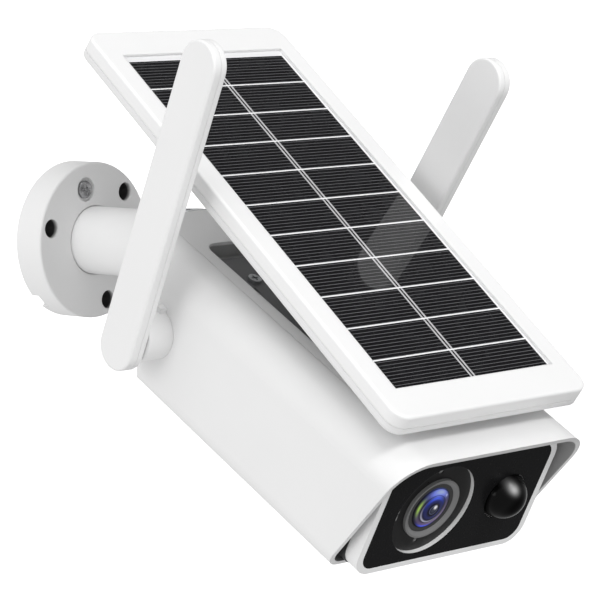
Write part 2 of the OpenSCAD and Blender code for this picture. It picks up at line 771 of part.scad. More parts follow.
// A round lens between two planes with a domed front
module lens_element(r, y0, y1, bulge) {
    dome = (r * r + bulge * bulge) / (2 * bulge);
    intersection() {
        rod_y(lens_x, lens_z, y0, y1, r);
        translate([lens_x, y0 + dome, lens_z]) sphere(r = dome);
    }
}
module lens_front() {
    color("midnightblue") camera_place() lens_element(lens_r, 0.1, 5.5, 1.3);
}
module led_board() {
    color("darkgreen") camera_place() difference() {
        rod_y(lens_x, lens_z, led_y, led_y + led_t, well_r - 0.3);
        rod_y(lens_x, lens_z, led_y - over, led_y + led_t + over, barrel_out);
    }
}
module infrared_leds() {
    color("#301018") camera_place() for (spot = led_spots) spot_at(spot) {
        rod_y(0, 0, plate_y + 0.2, led_y, led_r - 0.1);
    }
}
module light_sensor() {
    color("gainsboro") camera_place() push_y(plate_y + 0.2, led_y) sensor_2d(0.05);
}
module camera_board() {
    half = 15;
    color("darkgreen") camera_place()
        block([lens_x - half, board_y, lens_z - half], [lens_x + half, board_y + board_t, lens_z + half]);
}
module image_sensor() {
    color("#202030") camera_place()
        block([lens_x - 4, board_y - 1.4, lens_z - 4], [lens_x + 4, board_y, lens_z + 4]);
}
// Half the dome's outline: x is the radius and y points out of the front
module dome_2d(r, tip, low) {
    intersection() {
        union() {
            translate([0, tip]) circle(r = r);
            translate([0, low]) square([r, tip - low]);
        }
        translate([0, low]) square([r + over, r + tip - low + over]);
    }
}
module pir_dome() {
    tip = -1.5;
    wall = 0.9;
    low = -backing_y1 - 1.2;
    color("black") camera_place() translate([pir_x, 0, lens_z]) rotate([90, 0, 0])
        rotate_extrude() difference() {
            union() {
                dome_2d(pir_r, tip, low);
                translate([0, low]) square([pir_r + 2, 1.2]);
            }
            dome_2d(pir_r - wall, tip, low - over);
        }
}
module pir_sensor() {
    board_y0 = backing_y1 + 1.2;
    color("silver") camera_place() {
        rod_y(pir_x, lens_z, board_y0 - 3, board_y0 + 0.01, 4.6);
        block([pir_x - 8.5, board_y0, lens_z - 8.5], [pir_x + 8.5, board_y0 + 1.2, lens_z + 8.5]);
    }
}
module microphone() {
    color("silver") camera_place() spot_at(mic_spot)
        rod_y(0, 0, plate_y + lens_plate_t, led_y, mic_r + 0.6);
}

// ---------- electronics and battery ----------
module main_board() {
    color("darkgreen") camera_place()
        block([-ch_w + ch_wall + 0.6, 35, main_z], [ch_w - ch_wall - 0.6, ch_y1 - ch_wall - 0.6, main_z + 1.6]);
}
module board_shields() {
    color("silver") camera_place() for (x = [-26, -4, 14])
        block([x, 45, main_z + 1.6], [x + 15, 63, main_z + 4]);
}
module battery_tray() {
    color("#333333") camera_place() difference() {
        block([-cell_pitch * 1.5, cell_y0 - 2, ch_z0 + ch_wall],
            [cell_pitch * 1.5, cell_y0 + cell_l + 2, ch_z0 + ch_wall + 9]);
        for (i = [-1 : 1]) rod_y(i * cell_pitch, cell_z, cell_y0, cell_y0 + cell_l, cell_r);
    }
}
cell_z = ch_z0 + ch_wall + 1.5 + cell_r;
module battery_cells() {
    color("seagreen") camera_place() for (i = [-1 : 1])
        rod_y(i * cell_pitch, cell_z, cell_y0, cell_y0 + cell_l, cell_r);
}
module speaker() {
    color("#333333") camera_place()
        rod_z(speaker_x, speaker_y, ch_z0 + ch_wall, ch_z0 + ch_wall + 4, 7);
}
module usb_socket() {
    z0 = ch_z0 + 0.2;
    color("silver") camera_place() difference() {
        block([usb_x - 4.4, bay_mid - 1.6, z0], [usb_x + 4.4, bay_mid + 1.6, z0 + 8]);
        block([usb_x - 4, bay_mid - 1.2, z0 - over], [usb_x + 4, bay_mid + 1.2, z0 + 6.5]);
        block([usb_x - 3.2, bay_mid - 0.4, z0 + 1], [usb_x + 3.2, bay_mid + 0.4, z0 + 7]);
    }
}
module card_socket() {
    z0 = ch_z0 + 0.2;
    color("silver") camera_place() difference() {
        block([card_x - 6.4, bay_mid - 0.9, z0], [card_x + 6.4, bay_mid + 1.6, z0 + 13]);
        block([card_x - 5.6, bay_mid - 0.5, z0 - over], [card_x + 5.6, bay_mid + 0.5, z0 + 12]);
    }
}
module port_board() {
    z0 = ch_z0 + ch_wall;
    color("darkgreen") camera_place()
        block([usb_x - 6.4, bay_mid + 1.6, z0], [card_x + 6.5, bay_mid + 3.2, z0 + 16]);
}
module power_button() {
    color("dimgray") camera_place() {
        rod_z(button_x, bay_mid, ch_z0, ch_z0 + 4, button_r);
        rod_z(button_x, bay_mid, ch_z0 + ch_wall + slack, ch_z0 + 4, button_r + 0.8);
    }
}
module port_flap() {
    gap = air;
    hinge_y1 = bay_y0 + bay_d - gap;
    z1 = in_z0 - air;
    color("gray") camera_place() difference() {
        block([bay_x0 + gap, bay_y0 + gap, shell_z0], [bay_x0 + bay_w - gap, hinge_y1, z1]);
        translate([bay_x0 + bay_w / 2, bay_y0 + gap, shell_z0]) rod_z(0, 0, -over, 0.7, 3);
    }
}

// ---------- panel bracket and panel ----------
module panel_bracket() {
    z1 = pocket_floor + foot_t;
    color("whitesmoke") camera_place() difference() {
        union() {
            block([-foot_half, foot_y0, pocket_floor], [foot_half, foot_y1, z1]);
            push_x(-hinge_w / 2, hinge_w / 2) {
                polygon([[hinge_y - 10, z1 - 0.01], [hinge_y - hinge_r, hinge_z],
                    [hinge_y + hinge_r, hinge_z], [hinge_y + 14, z1 - 0.01]]);
                translate([hinge_y, hinge_z]) circle(r = hinge_r);
            }
        }
        rod_x(hinge_y, hinge_z, -hinge_w, hinge_w, hinge_pin_r + fit);
        for (x = foot_x, y = foot_holes) rod_z(x, y, pocket_floor - over, z1 + over, 1.3);
        // keyhole beside each rear screw
        for (x = [-20.6, 20.6]) block([x - 0.9, foot_y1 - 22, z1 - 1.5], [x + 0.9, foot_y1 - 18.5, z1 + over]);
    }
}
module panel_bracket_screws() {
    z1 = pocket_floor + foot_t;
    color("silver") camera_place() for (x = foot_x, y = foot_holes)
        translate([x, y, z1]) rotate([-90, 0, 0]) pan_screw_y(2.4, 1.3, 1.3, foot_t + tub_wall);
}
module panel_outline(grow) {
    round_rect(-panel_w / 2 - grow, -panel_l / 2 - grow, panel_w / 2 + grow, panel_l / 2 + grow,
        panel_r + grow, panel_r + grow);
}
module panel_frame() {
    color("white") panel_place() difference() {
        soft_plate(panel_w, panel_l, panel_r, seam_z, lip, 0.15, panel_edge);
        translate([0, 0, seam_z - over]) linear_extrude(lip - seam_z + over * 2)
            square([window_w, window_l], center = true);
        panel_screw_at() rod_z(0, 0, seam_z - over, screw_top, 1.1);
        translate([0, 0, seam_z - over]) linear_extrude(lam_top - seam_z + over)
            square([window_w + 2 * glass_side, window_l + 2 * glass_side], center = true);
        translate([0, 0, seam_z - over]) linear_extrude(over + 1.2)
            panel_outline(-frame_side_wall);
    }
}
module panel_glass() {
    color("#101418") panel_place() translate([0, 0, lam_top - lam_t]) linear_extrude(lam_t)
        square([window_w + 2 * glass_side - 0.4, window_l + 2 * glass_side - 0.4], center = true);
}
module solar_cells() {
    pitch = (window_l - 1.4) / cell_rows;
    top = lam_top - lam_t;
    half = window_w / 2 - 1.1;
    color("#15151c") panel_place() for (i = [0 : cell_rows - 1], side = [-1, 1])
        block([side < 0 ? -half : 0.4, -window_l / 2 + i * pitch + 0.7, top - sheet_t],
            [side < 0 ? -0.4 : half, -window_l / 2 + (i + 1) * pitch + 0.1, top]);
}
module panel_back() {
    board_top = lam_top - lam_t - sheet_t;
    lug_x = hinge_w / 2 + air;
    color("white") {
        panel_place() {
            difference() {
                soft_plate(panel_w, panel_l, panel_r, panel_low, seam_z, panel_edge * 1.6, 0.15);
                difference() {
                    translate([0, 0, panel_low + back_wall]) linear_extrude(panel_t)
                        panel_outline(-frame_side_wall * 1.5);
                    panel_screw_at() rod_z(0, 0, panel_low, seam_z, 3.4);
                }
                panel_screw_at() {
                    rod_z(0, 0, panel_low - over, seam_z + over, 1.1);
                    rod_z(0, 0, panel_low - over, panel_low + screw_sink, 2.5);
                }
            }
            // pillars that hold the cells up against the frame
            for (x = [-window_w / 2.4, 0, window_w / 2.4], y = [-2 : 2])
                rod_z(x, y * window_l / 4.8, panel_low + back_wall - 0.01, board_top, 2.5);
        }
        camera_place() for (x = [-lug_x - lug_t, lug_x]) difference() {
            push_x(x, x + lug_t) {
                translate([hinge_y, hinge_z]) circle(r = hinge_r);
                polygon([[hinge_y - hinge_r, hinge_z], [hinge_y + hinge_r, hinge_z],
                    [hinge_y + 8, under_z(hinge_y + 8)], [hinge_y - 8, under_z(hinge_y - 8)]]);
            }
            rod_x(hinge_y, hinge_z, -hinge_w * 2, hinge_w * 2, hinge_pin_r);
        }
    }
}
// Height of the panel's underside, a little inside it, above the point y of the housing
function under_z(y) = panel_z + (y - panel_y) * tan(panel_tilt) + (panel_low + 0.8) / cos(panel_tilt);
module panel_screws() {
    color("silver") panel_place() panel_screw_at()
        translate([0, 0, panel_low + screw_sink]) rotate([90, 0, 0])
            pan_screw_y(2.2, 1, 1.1, screw_top - panel_low - screw_sink);
}
module panel_screw_at() {
    for (x = [-1, 1], y = [-1, 0, 1])
        translate([x * (panel_w / 2 - 3.6), y * (panel_l / 2 - 8), 0]) children();
}
module panel_pin() {
    x1 = hinge_w / 2 + air + lug_t;
    color("silver") camera_place() {
        rod_x(hinge_y, hinge_z, -x1, x1, hinge_pin_r);
        rod_x(hinge_y, hinge_z, x1, x1 + 2.2, 3.6);
        translate([-x1 - 2.8, hinge_y, hinge_z]) rotate([0, 90, 0]) cylinder(h = 2.8, r = 4, $fn = 6);
    }
}

// ---------- antennas ----------
module paddle_2d(inset) {
    slot_2d([0, -paddle_tail + paddle_w / 2], [0, paddle_l - paddle_w / 2], paddle_w / 2 - inset);
}
// A paddle between two planes, with its rims rounded
module paddle_solid(x0, x1, r0, r1) {
    w = paddle_w / 2;
    ends = [-paddle_tail + w, paddle_l - w];
    for (z = ends) translate([0, 0, z]) rotate([0, 90, 0]) rotate_extrude() intersection() {
        edge_2d(w, x0, x1, r0, r1);
        translate([0, x0 - over]) square([w + over, x1 - x0 + 2 * over]);
    }
    for (m = [0, 1]) mirror([0, m, 0]) translate([0, 0, ends[0]])
        linear_extrude(ends[1] - ends[0]) rotate(90) mirror([0, 1, 0]) edge_2d(w, x0, x1, r0, r1);
}
module antenna_case(side) {
    color("white") antenna_place(side) difference() {
        union() {
            paddle_solid(paddle_x, paddle_x + case_t, paddle_edge, 0.12);
            rod_x(0, 0, hub_x + 2, paddle_x + 0.01, spigot_r);
        }
        push_x(paddle_x + paddle_wall, paddle_x + case_t + over) paddle_2d(paddle_wall);
        rod_x(0, 0, hub_x, paddle_x + case_t, 1.6);
    }
}
module antenna_cover(side) {
    x1 = paddle_x + paddle_t;
    color("white") antenna_place(side) difference() {
        paddle_solid(paddle_x + case_t, x1, 0.12, paddle_edge);
        push_x(paddle_x, x1 - paddle_wall) paddle_2d(paddle_wall);
    }
}
module antenna_board(side) {
    w = paddle_w / 2 - paddle_wall - 0.8;
    color("goldenrod") antenna_place(side)
        block([paddle_x + paddle_wall, -w, 6], [paddle_x + paddle_wall + 0.8, w, paddle_l - 12]);
}

wall_plate();
retainer_ring();
lock_screw();
arm_tube();
arm_washer();
arm_knuckle();
pan_yoke();
pan_bolt();
pan_nut();
outer_shell();
top_cover();
rear_bracket();
rear_bracket_screws();
tilt_bolt();
tilt_nut();
chassis();
chassis_screws();
antenna_sockets();
socket_nuts();
front_frame();
front_gasket();
front_glass();
lens_well();
lens_plate();
lens_ring();
lens_barrel();
lens_front();
led_board();
infrared_leds();
light_sensor();
image_sensor();
camera_board();
pir_dome();
pir_sensor();
microphone();
main_board();
board_shields();
battery_tray();
battery_cells();
speaker();
port_board();
card_socket();
usb_socket();
power_button();
port_flap();
panel_bracket();
panel_bracket_screws();
panel_frame();
panel_back();
panel_glass();
solar_cells();
panel_screws();
panel_pin();
antenna_case(-1);  // antenna_left_case
antenna_cover(-1);  // antenna_left_cover
antenna_board(-1);  // antenna_left_board
antenna_case(1);  // antenna_right_case
antenna_cover(1);  // antenna_right_cover
antenna_board(1);  // antenna_right_board
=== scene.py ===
import math

import bpy
import numpy as np
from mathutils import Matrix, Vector


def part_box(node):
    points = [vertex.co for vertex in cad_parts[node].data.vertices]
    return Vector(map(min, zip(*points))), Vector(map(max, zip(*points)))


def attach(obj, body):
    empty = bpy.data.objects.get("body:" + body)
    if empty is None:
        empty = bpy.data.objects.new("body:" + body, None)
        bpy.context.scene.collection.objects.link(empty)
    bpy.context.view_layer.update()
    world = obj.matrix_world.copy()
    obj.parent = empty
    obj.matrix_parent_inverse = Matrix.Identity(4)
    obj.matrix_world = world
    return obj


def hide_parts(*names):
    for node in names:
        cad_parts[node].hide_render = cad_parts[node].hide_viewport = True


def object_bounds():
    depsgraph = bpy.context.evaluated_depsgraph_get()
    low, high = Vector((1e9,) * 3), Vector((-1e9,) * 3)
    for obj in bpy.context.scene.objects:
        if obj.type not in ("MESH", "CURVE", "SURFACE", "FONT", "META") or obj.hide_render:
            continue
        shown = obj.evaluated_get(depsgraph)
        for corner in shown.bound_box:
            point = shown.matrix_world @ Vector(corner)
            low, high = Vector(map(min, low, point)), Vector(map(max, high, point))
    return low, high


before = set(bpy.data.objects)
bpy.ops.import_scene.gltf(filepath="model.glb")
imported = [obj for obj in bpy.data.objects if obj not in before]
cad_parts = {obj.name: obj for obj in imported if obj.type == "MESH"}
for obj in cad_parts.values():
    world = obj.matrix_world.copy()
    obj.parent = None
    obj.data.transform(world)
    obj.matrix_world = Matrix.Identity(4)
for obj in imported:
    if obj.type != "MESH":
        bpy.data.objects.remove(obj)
cad_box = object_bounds()

# ---------------------------------------------------------------------------
# Wall plate. A thick white disc, injection moulded in ABS with a fine spark-eroded
# texture, screwed to the wall through three counterbored holes. Its front face
# dishes round a fourth, smaller screw and a round opening for the arm.
# ---------------------------------------------------------------------------


def plain_material(name, colour, roughness, metallic=0.0):
    """A new material with its plain numbers set on the shader.
    Returns the material, its node tree and the shader."""
    material = bpy.data.materials.new(name)
    material.use_nodes = True
    tree = material.node_tree
    shader = tree.nodes["Principled BSDF"]
    shader.inputs["Base Color"].default_value = (*colour, 1.0)
    shader.inputs["Roughness"].default_value = roughness
    shader.inputs["Metallic"].default_value = metallic
    return material, tree, shader


def piece_noise(tree, size, detail=2.0, stretch=(1.0, 1.0, 1.0)):
    """Noise on the piece's own coordinates, with features about `size` metres across.
    `stretch` shortens the features along x, y and z. Returns the grey socket."""
    place = tree.nodes.new("ShaderNodeTexCoord")
    scale = tree.nodes.new("ShaderNodeMapping")
    scale.inputs["Scale"].default_value = stretch
    noise = tree.nodes.new("ShaderNodeTexNoise")
    noise.inputs["Scale"].default_value = 1.0 / size
    noise.inputs["Detail"].default_value = detail
    tree.links.new(place.outputs["Object"], scale.inputs["Vector"])
    tree.links.new(scale.outputs["Vector"], noise.inputs["Vector"])
    return noise.outputs["Fac"]


def spread(tree, source, low, high, start=0.3, end=0.7):
    """The grey `source` from start to end, stretched to run from low to high."""
    span = tree.nodes.new("ShaderNodeMapRange")
    for socket, value in zip(("From Min", "From Max", "To Min", "To Max"), (start, end, low, high)):
        span.inputs[socket].default_value = value
    tree.links.new(source, span.inputs["Value"])
    return span.outputs["Result"]


def two_tones(tree, source, first, second):
    """A colour that runs from `first` to `second` as the grey source rises from 0 to 1."""
    mix = tree.nodes.new("ShaderNodeMix")
    mix.data_type = "RGBA"
    mix.inputs[6].default_value = (*first, 1.0)
    mix.inputs[7].default_value = (*second, 1.0)
    tree.links.new(source, mix.inputs["Factor"])
    return mix.outputs[2]


def surface_relief(tree, shader, source, depth, edge):
    """Bump of `depth` metres from a grey source, over edges softened to the radius `edge`."""
    soft = tree.nodes.new("ShaderNodeBevel")
    soft.samples = 6
    soft.inputs["Radius"].default_value = edge
    bump = tree.nodes.new("ShaderNodeBump")
    bump.inputs["Distance"].default_value = depth
    bump.inputs["Strength"].default_value = 1.0
    tree.links.new(source, bump.inputs["Height"])
    tree.links.new(soft.outputs["Normal"], bump.inputs["Normal"])
    tree.links.new(bump.outputs["Normal"], shader.inputs["Normal"])


def moulded(name, colour, roughness, edge, grain=0.0005, depth=0.000012, mottle=0.03, coat=0.0):
    """Moulded plastic: an even colour that drifts a little over some centimetres, a fine
    texture from the tool, slightly uneven gloss, and edges with the tool's small radius."""
    material, tree, shader = plain_material(name, colour, roughness)
    flow = piece_noise(tree, 0.035, 4.0)
    darker = tuple(c * (1.0 - mottle) for c in colour)
    tree.links.new(two_tones(tree, spread(tree, flow, 0.0, 1.0), darker, colour),
                   shader.inputs["Base Color"])
    handled = piece_noise(tree, 0.009, 5.0)
    tree.links.new(spread(tree, handled, roughness - 0.05, roughness + 0.05),
                   shader.inputs["Roughness"])
    shader.inputs["Specular IOR Level"].default_value = 0.4
    shader.inputs["Coat Weight"].default_value = coat
    shader.inputs["Coat Roughness"].default_value = 0.18
    surface_relief(tree, shader, piece_noise(tree, grain, 2.0), depth, edge)
    return material


def dress(material, *nodes):
    """Gives these CAD nodes the finished material."""
    for node in nodes:
        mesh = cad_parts[node].data
        mesh.materials.clear()
        mesh.materials.append(material)


mount_white = moulded("mount_white", (0.86, 0.86, 0.86), 0.46, edge=0.0007, depth=0.00002)


def shade_inside(material, mask):
    """Darkens a finished material where the mask is 1: whatever colour the shader had is
    multiplied down. The tone is painted on, and stands for the shade of a deep recess."""
    tree = material.node_tree
    shader = tree.nodes["Principled BSDF"]
    bare = shader.inputs["Base Color"].links[0].from_socket
    mix = tree.nodes.new("ShaderNodeMix")
    mix.data_type = "RGBA"
    mix.blend_type = "MULTIPLY"
    mix.inputs[7].default_value = (0.05, 0.05, 0.05, 1.0)
    tree.links.new(bare, mix.inputs[6])
    tree.links.new(mask, mix.inputs["Factor"])
    tree.links.new(mix.outputs[2], shader.inputs["Base Color"])


def calc(tree, operation, first, second=0.0):
    """One step of arithmetic on grey sockets or plain numbers."""
    node = tree.nodes.new("ShaderNodeMath")
    node.operation = operation
    for socket, value in zip(node.inputs, (first, second)):
        if isinstance(value, (int, float)):
            socket.default_value = value
        else:
            tree.links.new(value, socket)
    return node.outputs[0]


def along(tree, direction, start):
    """How far a point of the piece lies from `start`, measured along `direction`."""
    place = tree.nodes.new("ShaderNodeTexCoord")
    dot = tree.nodes.new("ShaderNodeVectorMath")
    dot.operation = "DOT_PRODUCT"
    dot.inputs[1].default_value = direction
    tree.links.new(place.outputs["Object"], dot.inputs[0])
    return calc(tree, "SUBTRACT", dot.outputs["Value"], float(np.dot(direction, start)))


def in_bore(tree, centre, radius, face):
    """1 inside a bore along y about the centre, fading in over 2 mm behind the front face."""
    x = along(tree, (1, 0, 0), centre)
    z = along(tree, (0, 0, 1), centre)
    squares = calc(tree, "ADD", calc(tree, "MULTIPLY", x, x), calc(tree, "MULTIPLY", z, z))
    away = calc(tree, "SQRT", squares)
    near = calc(tree, "LESS_THAN", away, radius)
    deep = spread(tree, along(tree, (0, 1, 0), (0, face, 0)), 0.0, 1.0, 0.0002, 0.0022)
    return calc(tree, "MULTIPLY", near, deep)


# three counterbores, a third of a turn apart, at the angles where the plate has them; their insides are
# darkened with painted shade
plate_tree = mount_white.node_tree
plate_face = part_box("wall_plate")[0][1]
bore_circle, bore_reach, first_bore = 0.0236, 0.0037, 45.3
bore_painted_shade = 0.0
for turn in range(3):
    bore = math.radians(first_bore + 120.0 * turn)
    spot = (bore_circle * math.cos(bore), plate_face, bore_circle * math.sin(bore))
    bore_painted_shade = calc(plate_tree, "MAXIMUM", in_bore(plate_tree, spot, bore_reach, plate_face), bore_painted_shade)
shade_inside(mount_white, bore_painted_shade)
dress(mount_white, "wall_plate")

# ---------------------------------------------------------------------------
# Retainer ring and lock screw. A punched steel ring behind the plate keeps the arm's
# flange in its socket. One chromed pan head screw with a cross recess clamps the two
# together, and slackening it lets the arm turn.
# ---------------------------------------------------------------------------


def turned_metal(name, colour, roughness, stretch, edge=0.0002):
    """Bare or plated metal with the fine directional lines of the tool that made it, and
    small dull spots where the plating has weathered."""
    material, tree, shader = plain_material(name, colour, roughness, 1.0)
    lines = piece_noise(tree, 0.0012, 3.0, stretch)
    spots = piece_noise(tree, 0.003, 6.0)
    dull = tuple(c * 0.72 for c in colour)
    tree.links.new(two_tones(tree, spread(tree, spots, 0.0, 1.0, 0.35, 0.6), dull, colour),
                   shader.inputs["Base Color"])
    tree.links.new(spread(tree, spots, roughness + 0.14, roughness), shader.inputs["Roughness"])
    surface_relief(tree, shader, lines, 0.000012, edge)
    return material


def closed_mesh(name, points, faces):
    """A smooth-shaded object from an array of points in metres and a list of faces."""
    mesh = bpy.data.meshes.new(name)
    mesh.from_pydata(points.tolist(), [], faces)
    mesh.polygons.foreach_set("use_smooth", np.ones(len(mesh.polygons), dtype=bool))
    mesh.update()
    piece = bpy.data.objects.new(name, mesh)
    bpy.context.scene.collection.objects.link(piece)
    return piece


def lathe_faces(rings, around):
    """Faces of a closed turned shape: a first pole, `rings` rings of `around` points, a
    last pole. Point 0 is the first pole and the last point is the other."""
    step = np.arange(around)
    after = (step + 1) % around
    first = np.stack([np.zeros_like(step), 1 + step, 1 + after], axis=1)
    row = 1 + np.arange(rings - 1)[:, None] * around
    bands = np.stack([row + step, row + around + step, row + around + after, row + after], axis=-1)
    end = 1 + (rings - 1) * around
    last = np.stack([end + step, np.full_like(step, end + around), end + after], axis=1)
    return first.tolist() + bands.reshape(-1, 4).tolist() + last.tolist()


def lathe_points(profile, around, axes, relief=None):
    """A profile of (radius, depth) pairs carried once round the axis. A point at angle a
    lies at centre + radius (cos a · across + sin a · up) + (depth + relief) · inward.
    `axes` is (centre, across, up, inward), and the profile starts and ends on the axis."""
    centre, across, up, inward = axes
    angle = np.linspace(0.0, 2.0 * math.pi, around, endpoint=False)
    radius = profile[1:-1, 0][:, None]
    x, z = radius * np.cos(angle), radius * np.sin(angle)
    depth = np.broadcast_to(profile[1:-1, 1][:, None], x.shape)
    if relief is not None:
        depth = depth + relief(x, z)
    body = centre + x[..., None] * across + z[..., None] * up + depth[..., None] * inward
    sink = relief(np.zeros(1), np.zeros(1))[0] if relief is not None else 0.0
    first = centre + (profile[0, 1] + sink) * inward
    last = centre + profile[-1, 1] * inward
    return np.vstack([first, body.reshape(-1, 3), last])


def cross_recess(reach, width, depth):
    """Relief of a cross recess: two crossed slots of that width and reach, as deep as
    `depth` in the middle, with walls that slope over a tenth of a millimetre."""
    wall = 0.00012

    def relief(x, z):
        side_x = np.clip((width / 2 - np.abs(x)) / wall + 0.5, 0, 1)
        side_z = np.clip((width / 2 - np.abs(z)) / wall + 0.5, 0, 1)
        flat_x = side_x * np.clip((reach - np.abs(z)) / wall, 0, 1)
        flat_z = side_z * np.clip((reach - np.abs(x)) / wall, 0, 1)
        taper = np.clip(1.25 - np.hypot(x, z) / reach, 0.35, 1.0)
        return depth * taper * np.maximum(flat_x, flat_z)

    return relief


steel = turned_metal("steel", (0.62, 0.62, 0.63), 0.24, (1.0, 1.0, 6.0))
dress(steel, "retainer_ring")

screw_low, screw_high = (np.array(corner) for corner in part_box("lock_screw"))
screw_centre = (screw_low + screw_high) / 2
screw_centre[1] = screw_low[1]
head_radius = (screw_high[0] - screw_low[0]) / 2
shank = head_radius * 0.5
head_under = 0.0019
screw_end = screw_high[1] - screw_centre[1]
screw_around = 96
crown = np.linspace(0.0, 1.0, 40)
screw_profile = np.vstack([
    np.stack([head_radius * 0.94 * crown, 0.0007 * crown ** 2.6], axis=1),
    [[head_radius, 0.0010], [head_radius, head_under], [shank, head_under],
     [shank, screw_end], [0.0, screw_end]],
])
screw_axes = (screw_centre, np.array([1.0, 0, 0]), np.array([0, 0, 1.0]), np.array([0, 1.0, 0]))
lock_head = closed_mesh(
    "lock_screw_head",
    lathe_points(screw_profile, screw_around, screw_axes,
                 cross_recess(head_radius * 0.62, 0.0008, 0.0009)),
    lathe_faces(len(screw_profile) - 2, screw_around))
chrome = turned_metal("lock_screw_chrome", (0.42, 0.42, 0.43), 0.16, (8.0, 1.0, 1.0))
lock_head.data.materials.append(chrome)
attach(lock_head, "mount")
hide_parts("lock_screw")

# ---------------------------------------------------------------------------
# Arm. A round white plastic tube that ends in a flat tongue. It leaves the plate at a
# right angle, with a thin rubber washer in the socket that makes the turn stiff.
# ---------------------------------------------------------------------------

arm_white = moulded("arm_white", (0.88, 0.88, 0.88), 0.42, edge=0.0006, depth=0.00001)
dress(arm_white, "arm_tube", "arm_knuckle")


def rubber(name, colour, roughness=0.72):
    """Soft rubber: matt, a little chalky in patches, with a fine pebble."""
    material, tree, shader = plain_material(name, colour, roughness)
    chalk = piece_noise(tree, 0.006, 6.0)
    bloomed = tuple(min(1.0, c * 1.5 + 0.012) for c in colour)
    tree.links.new(two_tones(tree, spread(tree, chalk, 0.0, 1.0, 0.4, 0.75), colour, bloomed),
                   shader.inputs["Base Color"])
    tree.links.new(spread(tree, chalk, roughness - 0.08, roughness + 0.08), shader.inputs["Roughness"])
    shader.inputs["Specular IOR Level"].default_value = 0.3
    surface_relief(tree, shader, piece_noise(tree, 0.0004, 2.0), 0.00003, 0.0003)
    return material


rubber_dark = rubber("rubber_dark", (0.022, 0.022, 0.023))
dress(rubber_dark, "arm_washer")

# ---------------------------------------------------------------------------
# Pan yoke. A white plastic fork turns about an upright bolt through the arm's tongue,
# and carries a second, cross-ways eye for the camera's tilt bolt. Both bolts are zinc
# plated steel with a captive nut.
# ---------------------------------------------------------------------------

dress(arm_white, "pan_yoke")
zinc = turned_metal("zinc_plated", (0.56, 0.57, 0.58), 0.30, (1.0, 1.0, 9.0))
dress(zinc, "pan_bolt", "pan_nut", "tilt_bolt", "tilt_nut")

# ---------------------------------------------------------------------------
# Rear bracket. A grey glass-filled nylon foot that closes the back of the camera. Four
# screws hold it to the chassis, and the tilt bolt passes through its two ears.
# ---------------------------------------------------------------------------

grey_plastic = moulded("grey_plastic", (0.16, 0.16, 0.163), 0.48, edge=0.0004,
                       depth=0.00002, mottle=0.12)
dress(grey_plastic, "rear_bracket")
dress(zinc, "rear_bracket_screws")

# ---------------------------------------------------------------------------
# Outer shell. The long white hood wraps the sides and the front rim. It is painted ABS,
# smoother than the mount, with a crisp parting line to the top cover and a small,
# bright radius round the front lip.
# ---------------------------------------------------------------------------

shell_white = moulded("shell_white", (0.83, 0.83, 0.83), 0.34, edge=0.0005, depth=0.000004,
                      grain=0.0007, mottle=0.015, coat=0.15)
dress(shell_white, "outer_shell")

# The camera body's own axes. Its origin is at the bottom of the front glass, x runs to
# the camera's right, y to its rear and z up: it is panned 6.8 degrees to one side on the
# arm, then tilted 28.6 degrees nose down.
pan_angle, tilt_angle = math.radians(-6.8), math.radians(28.6)
body_x = np.array([math.cos(pan_angle), math.sin(pan_angle), 0.0])
level_y = np.array([-math.sin(pan_angle), math.cos(pan_angle), 0.0])
body_y = math.cos(tilt_angle) * level_y + math.sin(tilt_angle) * np.array([0, 0, 1.0])
body_z = np.cross(body_x, body_y)
body_origin = (np.array([0, -0.0603, 0]) - 0.020 * level_y
               - 0.133877 * body_y - 0.0351 * body_z)


def on_body(x, y, z):
    """The point x, y, z of the camera body, in millimetres, in the row's metres."""
    return body_origin + 0.001 * (x * body_x + y * body_y + z * body_z)


def inner_faces(tree, centre):
    """1 on faces that look towards the body's long axis: the part of the normal across that
    axis, times the distance from it, is then less than nothing."""
    place = tree.nodes.new("ShaderNodeTexCoord")
    outward = 0.0
    for direction in (body_x, body_z):
        turn = tree.nodes.new("ShaderNodeVectorMath")
        turn.operation = "DOT_PRODUCT"
        turn.inputs[1].default_value = tuple(direction)
        tree.links.new(place.outputs["Normal"], turn.inputs[0])
        reach = along(tree, tuple(direction), centre)
        outward = calc(tree, "ADD", calc(tree, "MULTIPLY", turn.outputs["Value"], reach), outward)
    return spread(tree, outward, 0.60, 0.0, -0.012, -0.004)


# the hood's inner faces are toned darker than its outside, in place of their shade
body_middle = on_body(0, 0, 22)
shade_inside(shell_white, inner_faces(shell_white.node_tree, body_middle))

# ---------------------------------------------------------------------------
# Top cover. A separate moulding that drops between the shell's sides, with a lowered
# pocket for the panel's bracket. Its texture is coarser than the shell's, and the
# pocket's floor is toned darker, in place of the panel's shade.
# ---------------------------------------------------------------------------

cover_white = moulded("cover_white", (0.83, 0.83, 0.83), 0.44, edge=0.0005, depth=0.00002)
cover_tree = cover_white.node_tree
cover_top, pocket_rear = on_body(0, 0, 46.6), on_body(0, 122.8, 0)
lowered = along(cover_tree, tuple(body_z), cover_top)
ahead = calc(cover_tree, "LESS_THAN", along(cover_tree, tuple(body_y), pocket_rear), 0.0)
pocket_floor = spread(cover_tree, lowered, 0.55, 0.0, -0.0006, -0.0001)
shade_inside(cover_white, calc(cover_tree, "MULTIPLY", ahead, pocket_floor))
dress(cover_white, "top_cover")

# ---------------------------------------------------------------------------
# Chassis and what it carries. A dark moulded inner box is screwed to the shell, and
# holds the main board with its pressed shields, the battery in its tray, the speaker
# and the loose-fitting camera board.
# ---------------------------------------------------------------------------


